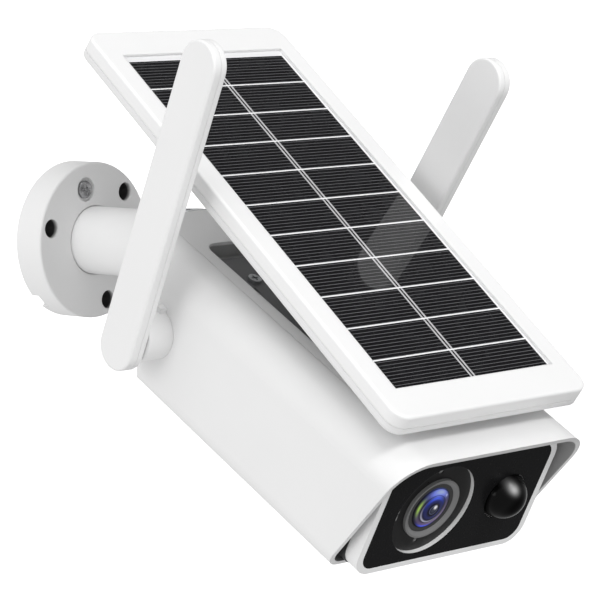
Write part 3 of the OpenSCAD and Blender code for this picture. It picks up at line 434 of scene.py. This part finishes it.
def circuit_board(name, colour):
    """Coated laminate: a glossy solder mask with paler tracks beneath, laid out as cells of
    about three millimetres, and a weave that just shows in the gloss."""
    material, tree, shader = plain_material(name, colour, 0.3)
    place = tree.nodes.new("ShaderNodeTexCoord")
    cells = tree.nodes.new("ShaderNodeTexVoronoi")
    cells.distance = "CHEBYCHEV"
    cells.inputs["Scale"].default_value = 330.0
    tree.links.new(place.outputs["Object"], cells.inputs["Vector"])
    track = tuple(c * 2.1 + 0.02 for c in colour)
    mask = spread(tree, cells.outputs["Distance"], 0.0, 1.0, 0.28, 0.34)
    tree.links.new(two_tones(tree, mask, track, colour), shader.inputs["Base Color"])
    surface_relief(tree, shader, piece_noise(tree, 0.0006, 1.0), 0.00001, 0.0001)
    return material


inner_plastic = moulded("inner_plastic", (0.05, 0.05, 0.052), 0.5, edge=0.0004, mottle=0.15)
dress(inner_plastic, "chassis", "battery_tray")
dress(zinc, "chassis_screws", "panel_bracket_screws", "panel_screws", "socket_nuts")
board_green = circuit_board("board_green", (0.012, 0.075, 0.03))
dress(board_green, "main_board", "camera_board", "port_board")
shield_metal = turned_metal("shield_metal", (0.60, 0.60, 0.58), 0.36, (1.0, 5.0, 1.0))
dress(shield_metal, "board_shields", "card_socket", "usb_socket", "microphone", "pir_sensor")
component_dark = moulded("component_dark", (0.02, 0.02, 0.022), 0.4, edge=0.0002, mottle=0.2)
dress(component_dark, "speaker", "image_sensor")
cell_wrap = moulded("cell_wrap", (0.03, 0.12, 0.30), 0.28, edge=0.0004, mottle=0.1, coat=0.3)
dress(cell_wrap, "battery_cells")

# ---------------------------------------------------------------------------
# Front frame, gasket and glass. A white frame clips into the hood and carries a black
# acrylic window, polished and clear coated, bedded on a foam rubber gasket.
# ---------------------------------------------------------------------------

frame_white = moulded("frame_white", (0.90, 0.90, 0.90), 0.38, edge=0.0004, depth=0.000008)
dress(frame_white, "front_frame")
dress(rubber_dark, "front_gasket")


def black_acrylic(name, colour, roughness, edge):
    """Black acrylic sheet: deep, even colour, a polished skin with the faint orange peel of
    its clear coat, and a little fine dust that catches light."""
    material, tree, shader = plain_material(name, colour, roughness)
    dust = piece_noise(tree, 0.0011, 8.0)
    dusty = tuple(c + 0.002 for c in colour)
    tree.links.new(two_tones(tree, spread(tree, dust, 0.0, 1.0, 0.56, 0.74), colour, dusty),
                   shader.inputs["Base Color"])
    tree.links.new(spread(tree, dust, roughness, roughness + 0.1, 0.5, 0.7), shader.inputs["Roughness"])
    shader.inputs["Specular IOR Level"].default_value = 0.1
    surface_relief(tree, shader, piece_noise(tree, 0.004, 1.0), 0.000006, edge)
    return material


front_black = black_acrylic("front_black", (0.0085, 0.0085, 0.009), 0.20, 0.0002)
dress(front_black, "front_glass")

# ---------------------------------------------------------------------------
# Lens well. A thin bright sleeve lines the round opening in the window. Behind it lies
# a matt black plate with small windows for the infrared lamps, the light sensor and
# the microphone, and the lamp board behind that.
# ---------------------------------------------------------------------------

well_bright = moulded("well_bright", (0.90, 0.90, 0.90), 0.22, edge=0.0001, depth=0.000003, coat=0.4)
dress(well_bright, "lens_well")
black_plastic = moulded("black_plastic", (0.005, 0.005, 0.0052), 0.42, edge=0.0002,
                        depth=0.000008, mottle=0.2)
dress(black_plastic, "lens_plate", "led_board")


def lamp_resin():
    """Smoked clear resin over a small pale reflector: a grey that lightens in soft spots."""
    material, tree, shader = plain_material("lamp_resin", (0.22, 0.22, 0.22), 0.16)
    spots = piece_noise(tree, 0.0012, 3.0)
    tone = two_tones(tree, spread(tree, spots, 0.0, 1.0, 0.4, 0.65),
                     (0.10, 0.10, 0.10), (0.30, 0.30, 0.30))
    tree.links.new(tone, shader.inputs["Base Color"])
    shader.inputs["Coat Weight"].default_value = 1.0
    return material


dress(lamp_resin(), "infrared_leds", "light_sensor")

# ---------------------------------------------------------------------------
# Lens. A satin grey anodised ring with a bevelled face is pressed over the black
# threaded barrel, whose mouth is a ribbed cone. The front element is a coated glass
# dome. Its blue, green and violet glints are painted on it and don't move with the light.
# ---------------------------------------------------------------------------

lens_centre = on_body(-12.1, 0.0, 20.07)
lens_axes = (lens_centre, body_x, body_z, body_y)


def polar_grid(points, axes):
    """Distances across and up from the axis, in millimetres, of points in metres."""
    centre, across, up, _ = axes
    away = (points - centre) * 1000.0
    return away @ across, away @ up


def paint(piece, name, colours):
    """Stores one colour for each point of the piece, as a named colour attribute."""
    layer = piece.data.color_attributes.new(name, "FLOAT_COLOR", "POINT")
    layer.data.foreach_set("color", np.hstack([colours, np.ones((len(colours), 1))]).ravel())


def painted_material(name, layer, roughness, coat, specular=0.5, metallic=0.0):
    """A material whose colour is the piece's own painted layer, under a clear coat."""
    material, tree, shader = plain_material(name, (0.1, 0.1, 0.1), roughness, metallic)
    colour = tree.nodes.new("ShaderNodeAttribute")
    colour.attribute_name = layer
    tree.links.new(colour.outputs["Color"], shader.inputs["Base Color"])
    shader.inputs["Specular IOR Level"].default_value = specular
    shader.inputs["Coat Weight"].default_value = coat
    shader.inputs["Coat Roughness"].default_value = 0.02
    return material, tree, shader


def bell(value, middle, width):
    """A smooth bump that is 1 at the middle and falls away over about the width."""
    return np.exp(-((value - middle) / width) ** 2)


def arc(angle, middle, width):
    """A bell round the circle, with both angles in degrees."""
    return bell((angle - middle + 180.0) % 360.0 - 180.0, 0.0, width)


def lens_colours(x, z):
    """Colours of the coated glass by distance from the axis and by direction, painted as the glass looks
    under one light.
    From the edge in: a dark rim, a violet band that is partly the coating's tint and partly painted
    reflection, a pale ring that is painted reflection, a navy ring and a grey pupil. A blue glow over the
    upper part, a green one on the left edge, a violet patch low on the right and a blue spark on the lower
    edge are painted reflections.
    A white spot beside the pupil and a paler one at the upper right are painted glints of lamps. Three
    thin dark rings darken all of it."""
    r = np.hypot(x, z)
    a = np.degrees(np.arctan2(z, x))
    parts = [
        ((0.010, 0.010, 0.016), np.ones_like(r)),
        ((0.10, 0.07, 0.15), bell(r, 6.4, 0.75) * (0.25 + 0.75 * arc(a, 275, 75))),
        ((0.34, 0.34, 0.44), bell(r, 5.0, 0.32) * arc(a, 240, 62)),
        ((0.17, 0.13, 0.24), bell(r, 5.8, 0.6) * arc(a, 318, 48)),
        ((0.010, 0.013, 0.075), bell(r, 3.4, 0.75)),
        ((0.17, 0.24, 0.95), bell(r, 6.3, 1.5) * arc(a, 84, 34)),
        ((0.16, 0.18, 0.34), bell(r, 6.9, 0.9) * arc(a, 72, 26)),
        ((0.02, 0.05, 0.48), bell(r, 4.4, 0.5) * arc(a, 100, 55)),
        ((0.26, 0.44, 0.02), bell(r, 6.6, 0.5) * arc(a, 170, 24)),
        ((0.03, 0.08, 0.95), bell(r, 7.2, 0.42) * arc(a, 264, 22)),
        ((0.06, 0.07, 0.12), bell(r, 1.7, 0.20)),
        ((0.03, 0.035, 0.055), bell(r, 0.7, 0.5)),
        ((1.00, 1.00, 1.00), bell(np.hypot(x - 0.5, z - 1.0), 0.0, 0.62)),
        ((0.30, 0.33, 0.50), bell(np.hypot(x - 4.9, z - 4.6), 0.0, 0.45)),
    ]
    colour = sum(weight[:, None] * np.array(tone) for tone, weight in parts)
    dark_rings = 1.0 - 0.85 * bell(r, 7.75, 0.18) - 0.7 * bell(r, 5.45, 0.12) - 0.6 * bell(r, 2.2, 0.16)
    return np.clip(1.5 * colour * np.clip(dark_rings, 0.05, 1.0)[:, None], 0.0, 1.0)


# the glass front: a shallow cap of 8 mm radius that stands 1.3 mm proud of its seat
glass_radius, glass_tip, glass_bulge, glass_rear = 7.95, 0.1, 1.3, 5.4
glass_around = 160
cap = np.linspace(0.0, 1.0, 90)
glass_profile = 0.001 * np.vstack([
    np.stack([glass_radius * cap, glass_tip + glass_bulge * cap ** 2], axis=1),
    [[glass_radius, glass_rear], [0.0, glass_rear]]])
glass_points = lathe_points(glass_profile, glass_around, lens_axes)
lens_glass = closed_mesh("lens_glass", glass_points,
                         lathe_faces(len(glass_profile) - 2, glass_around))
# the colour layer holds the coating's tint with its painted reflections and painted glints
paint(lens_glass, "coating_and_painted_reflections", lens_colours(*polar_grid(glass_points, lens_axes)))
glass_with_painted_reflections = painted_material("lens_glass", "coating_and_painted_reflections", 0.2, 0.2, specular=0.05)[0]
lens_glass.data.materials.append(glass_with_painted_reflections)
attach(lens_glass, "camera")
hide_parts("lens_front")

ring_metal = moulded("ring_metal", (0.20, 0.20, 0.20), 0.34, edge=0.0001, depth=0.000004, mottle=0.06)
dress(ring_metal, "lens_ring")
barrel_black = moulded("barrel_black", (0.05, 0.05, 0.051), 0.5, edge=0.0001,
                       depth=0.00001, mottle=0.2)
dress(barrel_black, "lens_barrel")

# ---------------------------------------------------------------------------
# Motion sensor. A smooth black dome over the detector, thin moulded plastic with a
# plain flange behind that holds it in the front window.
# ---------------------------------------------------------------------------

dome_centre = on_body(22.3, 0.0, 20.07)
dome_axes = (dome_centre, body_x, body_z, body_y)
dome_radius, dome_level, dome_rear = 8.6, 1.5, 4.0
dome_around = 160
rise = np.linspace(0.0, math.pi / 2, 70)
dome_profile = 0.001 * np.vstack([
    np.stack([dome_radius * np.sin(rise), dome_level - dome_radius * np.cos(rise)], axis=1),
    [[dome_radius, dome_rear], [0.0, dome_rear]]])
dome_points = lathe_points(dome_profile, dome_around, dome_axes)
sensor_dome = closed_mesh("motion_sensor_dome", dome_points,
                          lathe_faces(len(dome_profile) - 2, dome_around))


def dome_colours(x, z):
    """Near black, with a pale soft spot up and to the left, and a greyer band low on the
    right near the edge. Both are painted glints, and don't move with the light."""
    spot = bell(np.hypot((x + 2.5) * 0.8, z - 6.0), 0.0, 1.5)
    band = bell(np.hypot(x, z), 8.1, 0.35) * arc(np.degrees(np.arctan2(z, x)), 330, 75)
    grey = 0.001 + 0.50 * spot ** 1.3 + 0.05 * band
    return np.clip(grey[:, None] * np.ones(3), 0.0, 1.0)


# the colour layer holds the dome's painted highlights: a pale soft spot and a greyer band near the edge
paint(sensor_dome, "painted_glints", dome_colours(*polar_grid(dome_points, dome_axes)))
dome_black, dome_tree, dome_shader = painted_material("dome_black", "painted_glints", 0.16, 0.1, specular=0.05)
dome_shader.inputs["Coat Roughness"].default_value = 0.12
surface_relief(dome_tree, dome_shader, piece_noise(dome_tree, 0.0016, 1.0), 0.000008, 0.0002)
sensor_dome.data.materials.append(dome_black)
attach(sensor_dome, "camera")
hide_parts("pir_dome")

# ---------------------------------------------------------------------------
# Service bay. Under a hinged grey rubber flap on the camera's underside are the card
# and charging sockets, with the power button beside them.
# ---------------------------------------------------------------------------

rubber_grey = rubber("rubber_grey", (0.16, 0.16, 0.165), 0.6)
dress(rubber_grey, "port_flap", "power_button")

# ---------------------------------------------------------------------------
# Aerials. Two flat white paddles, each a shallow case with a snapped-on cover round a
# strip of aerial board. They swing on white hubs that a nut pulls against the shell.
# ---------------------------------------------------------------------------

antenna_white = moulded("antenna_white", (0.845, 0.845, 0.845), 0.40, edge=0.0008,
                        depth=0.000006, mottle=0.015)
dress(antenna_white, "antenna_left_case", "antenna_left_cover", "antenna_right_case",
      "antenna_right_cover", "antenna_sockets")
dress(circuit_board("aerial_board", (0.02, 0.06, 0.035)), "antenna_left_board", "antenna_right_board")

# ---------------------------------------------------------------------------
# Panel bracket. A grey nylon arm in the top cover's pocket, held by screws. A steel pin
# through its eye lets the panel tip.
# ---------------------------------------------------------------------------

dress(grey_plastic, "panel_bracket")
dress(zinc, "panel_pin")

# ---------------------------------------------------------------------------
# Panel housing. A white moulded frame round the solar sheet with a softly rounded lip,
# closed from below by a slightly greyer tray that screws on at its corners.
# ---------------------------------------------------------------------------

panel_white = moulded("panel_white", (0.865, 0.865, 0.865), 0.36, edge=0.0009,
                      depth=0.000005, mottle=0.012, coat=0.1)
dress(panel_white, "panel_frame")
panel_under = moulded("panel_under", (0.80, 0.80, 0.80), 0.42, edge=0.0009, depth=0.00001)
dress(panel_under, "panel_back")

# ---------------------------------------------------------------------------
# Solar sheet. Two columns of eleven dark silicon cells laid on a white backing, with
# fine silver fingers across them and a double ribbon down the middle, all laminated
# under one clear, glossy skin that sits a little below the frame's lip.
# ---------------------------------------------------------------------------

lean = math.radians(9.8)
panel_y = math.cos(lean) * body_y + math.sin(lean) * body_z
panel_z = np.cross(body_x, panel_y)
panel_centre = on_body(0.0, 96.2, 75.7)


def solar_sheet(name, half_width, half_length, level):
    """A flat rectangle in the panel's own plane, on a grid of 24 by 48, with a shallow
    waviness of a fiftieth of a millimetre as laminated sheet has. Its map holds the
    distance across and along the panel in millimetres, divided by 100."""
    s, t = np.meshgrid(np.linspace(-1, 1, 25), np.linspace(-1, 1, 49))
    x, y = (half_width * s).ravel(), (half_length * t).ravel()
    wave = 0.02 * np.sin(x / 9.0 + 1.0) * np.sin(y / 13.0)
    points = panel_centre + 0.001 * (x[:, None] * body_x + y[:, None] * panel_y
                                     + (level + wave)[:, None] * panel_z)
    corner = (np.arange(48)[:, None] * 25 + np.arange(24)).ravel()
    faces = np.stack([corner, corner + 1, corner + 26, corner + 25], axis=1)
    sheet = closed_mesh(name, points, faces.tolist())
    layout = sheet.data.uv_layers.new(name="layout")
    loops = np.empty(len(sheet.data.loops), dtype=np.int32)
    sheet.data.loops.foreach_get("vertex_index", loops)
    layout.data.foreach_set("uv", np.stack([x[loops], y[loops]], axis=1).ravel() / 100.0)
    return sheet


def cell_pattern(tree):
    """The cells' print, as one grey mask for each part. All distances are in millimetres:
    rows start at cell_top above the middle and repeat every cell_pitch, with a gap of
    cell_gap; ten fingers cross each row; the ribbons run from 0.4 to 1.2 either side of
    the middle; and the cells stop cell_reach from it."""
    cell_top, cell_pitch, cell_gap, cell_reach = 80.8, 15.05, 0.6, 36.4
    ribbon_start, ribbon_end = 0.4, 1.2
    finger_pitch, finger_width = cell_pitch / 10, 0.24
    layout = tree.nodes.new("ShaderNodeUVMap")
    layout.uv_map = "layout"
    apart = tree.nodes.new("ShaderNodeSeparateXYZ")
    tree.links.new(layout.outputs["UV"], apart.inputs[0])
    across = calc(tree, "ABSOLUTE", calc(tree, "MULTIPLY", apart.outputs["X"], 100.0), 0.0)
    down = calc(tree, "SUBTRACT", cell_top, calc(tree, "MULTIPLY", apart.outputs["Y"], 100.0))
    row = calc(tree, "FLOORED_MODULO", down, cell_pitch)
    gap = calc(tree, "MAXIMUM", calc(tree, "LESS_THAN", row, cell_gap / 2),
               calc(tree, "GREATER_THAN", row, cell_pitch - cell_gap / 2))
    margin = calc(tree, "MAXIMUM", calc(tree, "GREATER_THAN", across, cell_reach),
                  calc(tree, "LESS_THAN", down, 0.0))
    ribbon = calc(tree, "MULTIPLY", calc(tree, "GREATER_THAN", across, ribbon_start),
                  calc(tree, "LESS_THAN", across, ribbon_end))
    step = calc(tree, "FLOORED_MODULO", calc(tree, "ADD", row, 0.6), finger_pitch)
    finger = calc(tree, "LESS_THAN", step, finger_width)
    return gap, margin, ribbon, finger


solar_glass, sheet_tree, sheet_shader = plain_material("solar_glass", (0.02, 0.02, 0.022), 0.30)
gap, margin, ribbon, finger = cell_pattern(sheet_tree)
crystal = piece_noise(sheet_tree, 0.006, 4.0)
silicon = two_tones(sheet_tree, spread(sheet_tree, crystal, 0.0, 1.0),
                    (0.004, 0.004, 0.005), (0.007, 0.007, 0.0085))


def printed(under, mask, tone):
    """The colour `under`, with `tone` laid over it where the mask is 1."""
    mix = sheet_tree.nodes.new("ShaderNodeMix")
    mix.data_type = "RGBA"
    mix.inputs[7].default_value = (*tone, 1.0)
    sheet_tree.links.new(under, mix.inputs[6])
    sheet_tree.links.new(mask, mix.inputs["Factor"])
    return mix.outputs[2]


cells = printed(silicon, finger, (0.12, 0.12, 0.125))
cells = printed(cells, ribbon, (0.52, 0.52, 0.53))
cells = printed(cells, gap, (0.88, 0.88, 0.89))
cells = printed(cells, margin, (0.80, 0.80, 0.81))
sheet_tree.links.new(cells, sheet_shader.inputs["Base Color"])
sheet_shader.inputs["Specular IOR Level"].default_value = 0.05
sheet_shader.inputs["Coat Weight"].default_value = 1.0
sheet_shader.inputs["Coat Roughness"].default_value = 0.035
sheet_shader.inputs["Coat IOR"].default_value = 1.42
laminate = solar_sheet("solar_sheet", 40.5, 86.4, -0.1)
laminate.data.materials.append(solar_glass)
thick = laminate.modifiers.new("laminate_thickness", "SOLIDIFY")
thick.thickness = 0.0008
thick.offset = -1.0
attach(laminate, "panel")
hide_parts("panel_glass", "solar_cells")

# ---------------------------------------------------------------------------
# Studio. A plain white floor and backdrop, a soft key light high in front, a broader one
# on the left, one above, and a white room with two black flags on the right.
# ---------------------------------------------------------------------------


def stage_surface(name, points, faces, painted_glints):
    """A part of the studio: matt white with a little light of its own."""
    surface = closed_mesh(name, np.array(points, dtype=float), faces)
    material, tree, shader = plain_material(name, (0.92, 0.92, 0.92), 0.9)
    shader.inputs["Emission Color"].default_value = (1, 1, 1, 1)
    shader.inputs["Emission Strength"].default_value = painted_glints
    surface.data.materials.append(material)
    return surface


floor_reach, floor_level = 9, -1.6
floor = stage_surface("studio_floor",
                      [(-floor_reach, -floor_reach, floor_level), (floor_reach, -floor_reach, floor_level),
                       (floor_reach, floor_reach, floor_level), (-floor_reach, floor_reach, floor_level)],
                      [(0, 1, 2, 3)], 0.75)
sky_radius, sky_around = 12.0, 32
sky_angle = np.linspace(0, math.pi, 24)
sky_profile = sky_radius * np.stack([np.sin(sky_angle), np.cos(sky_angle)], axis=1)
sky_points = lathe_points(sky_profile, sky_around, (np.zeros(3), *np.eye(3)))
backdrop = stage_surface("studio_backdrop", sky_points,
                         lathe_faces(len(sky_profile) - 2, sky_around), 1.0)
for seen in ("visible_diffuse", "visible_glossy", "visible_transmission", "visible_shadow"):
    setattr(backdrop, seen, False)
    setattr(floor, seen, False)


def softbox(name, place, aim, width, height, watts):
    """A rectangular soft light at `place`, turned to face `aim`."""
    lamp = bpy.data.lights.new(name, "AREA")
    lamp.shape = "RECTANGLE"
    lamp.size, lamp.size_y, lamp.energy = width, height, watts
    holder = bpy.data.objects.new(name, lamp)
    holder.location = place
    holder.rotation_euler = (Vector(aim) - Vector(place)).to_track_quat("-Z", "Y").to_euler()
    bpy.context.scene.collection.objects.link(holder)


middle = tuple((cad_box[0][i] + cad_box[1][i]) / 2 for i in range(3))
softbox("key_light", (0.0, -1.45, 1.15), middle, 0.5, 0.5, 13.0)
softbox("side_light", (-1.9, 0.0, 0.35), middle, 0.9, 0.9, 7.5)
softbox("top_light", (-0.5, -0.3, 1.7), middle, 0.8, 0.8, 5.0)

world = bpy.data.worlds.new("studio_room")
world.use_nodes = True
room = world.node_tree
room.nodes["Background"].inputs["Color"].default_value = (1, 1, 1, 1)


def flag(direction, start, end, low):
    """A black flag in the room: the light falls from 1 to `low` as the direction turns
    towards the flag."""
    facing = room.nodes.new("ShaderNodeVectorMath")
    facing.operation = "DOT_PRODUCT"
    facing.inputs[1].default_value = direction
    room.links.new(room.nodes.new("ShaderNodeTexCoord").outputs["Generated"], facing.inputs[0])
    return spread(room, facing.outputs["Value"], 1.0, low, start, end)


# one flag hangs high on the right and one stands low in front on the right, so that the
# solar sheet and the black window stay dark
high_flag = flag((0.635, 0.027, 0.768), 0.60, 0.92, 0.12)
low_flag = flag((0.60, -0.42, -0.68), 0.62, 0.95, 0.25)
room.links.new(calc(room, "MULTIPLY", calc(room, "MULTIPLY", high_flag, low_flag), 0.78),
               room.nodes["Background"].inputs["Strength"])
bpy.context.scene.world = world
bpy.context.scene.view_settings.view_transform = "Standard"

lens = bpy.data.cameras.new("studio_camera")
lens.sensor_width, lens.lens = 36.0, 170.61
lens.shift_x, lens.shift_y = -0.0178, -0.0012
lens.clip_start, lens.clip_end = 0.05, 60.0
viewer = bpy.data.objects.new("studio_camera", lens)
viewer.location = (-0.760875, -0.736926, 0.101243)
viewer.rotation_euler = tuple(math.radians(a) for a in (83.2329, 0.66736, -50.81339))
bpy.context.scene.collection.objects.link(viewer)
bpy.context.scene.camera = viewer
